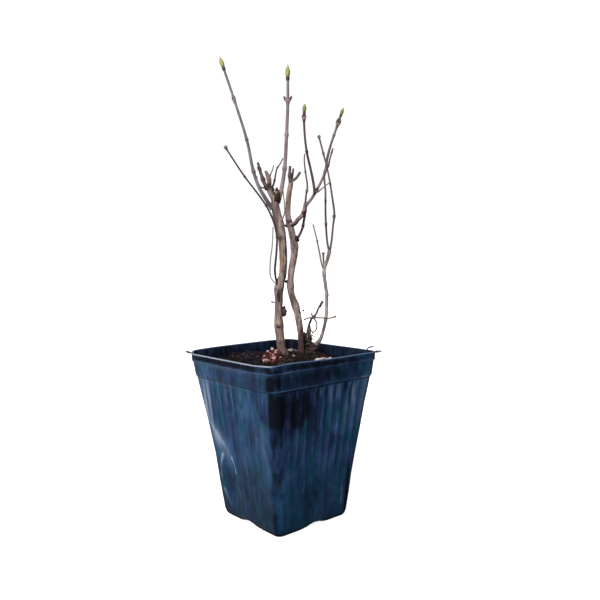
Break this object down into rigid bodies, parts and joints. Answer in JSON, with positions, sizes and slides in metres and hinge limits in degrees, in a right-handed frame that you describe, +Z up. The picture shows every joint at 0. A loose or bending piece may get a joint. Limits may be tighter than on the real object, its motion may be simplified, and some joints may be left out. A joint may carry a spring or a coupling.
{
  "type": "potted dormant lilac bush",
  "caption": "Young leafless lilac with upright woody stems, thin twigs and swelling tip buds, in a tapered square fluted plastic nursery pot with soil and bark.",
  "frame": {"origin": "on the ground under the middle of the pot", "axes": "+Z up along the stems; X and Y along the pot's sides, with the tall left shoot leaning towards -X and +Y"},
  "size_m": [0.1196, 0.1196, 0.3903],
  "materials": {
    "pot_plastic": "thin dark navy moulded plastic with a soft sheen",
    "soil": "dark crumbly potting soil",
    "bark_chips": "rough reddish brown bark chips",
    "pale_wood": "pale split wood",
    "bark": "warm grey-brown bark with fine fissures",
    "dead_wood": "dark weathered dead wood",
    "young_twigs": "smooth mauve-grey young bark with yellow-green buds"
  },
  "bodies": {
    "root": {"pot": "pot_plastic", "soil": "soil", "bark_heap": "bark_chips", "wood_splinter": "pale_wood", "left_stem": "bark", "middle_stem": "bark", "right_stem": "bark", "dead_stump": "dead_wood", "fork_bough": "bark", "cross_bough": "bark", "right_bough": "bark", "tall_left_shoot": "young_twigs", "tall_middle_shoot": "young_twigs", "low_left_twig": "young_twigs", "left_hair_twig": "young_twigs", "right_hair_twig": "young_twigs", "fork_outer_twigs": "young_twigs", "fork_inner_twig": "young_twigs", "fork_front_hair": "young_twigs", "middle_prongs": "young_twigs", "link_twig": "young_twigs", "thin_left_shoot": "young_twigs", "dark_shoot": "young_twigs", "right_shoot": "young_twigs", "bough_spur_twig": "young_twigs", "front_whip": "young_twigs", "back_whip": "young_twigs", "right_side_twig": "young_twigs", "right_side_stub": "young_twigs", "stump_twigs": "young_twigs"}
  },
  "joints": []
}
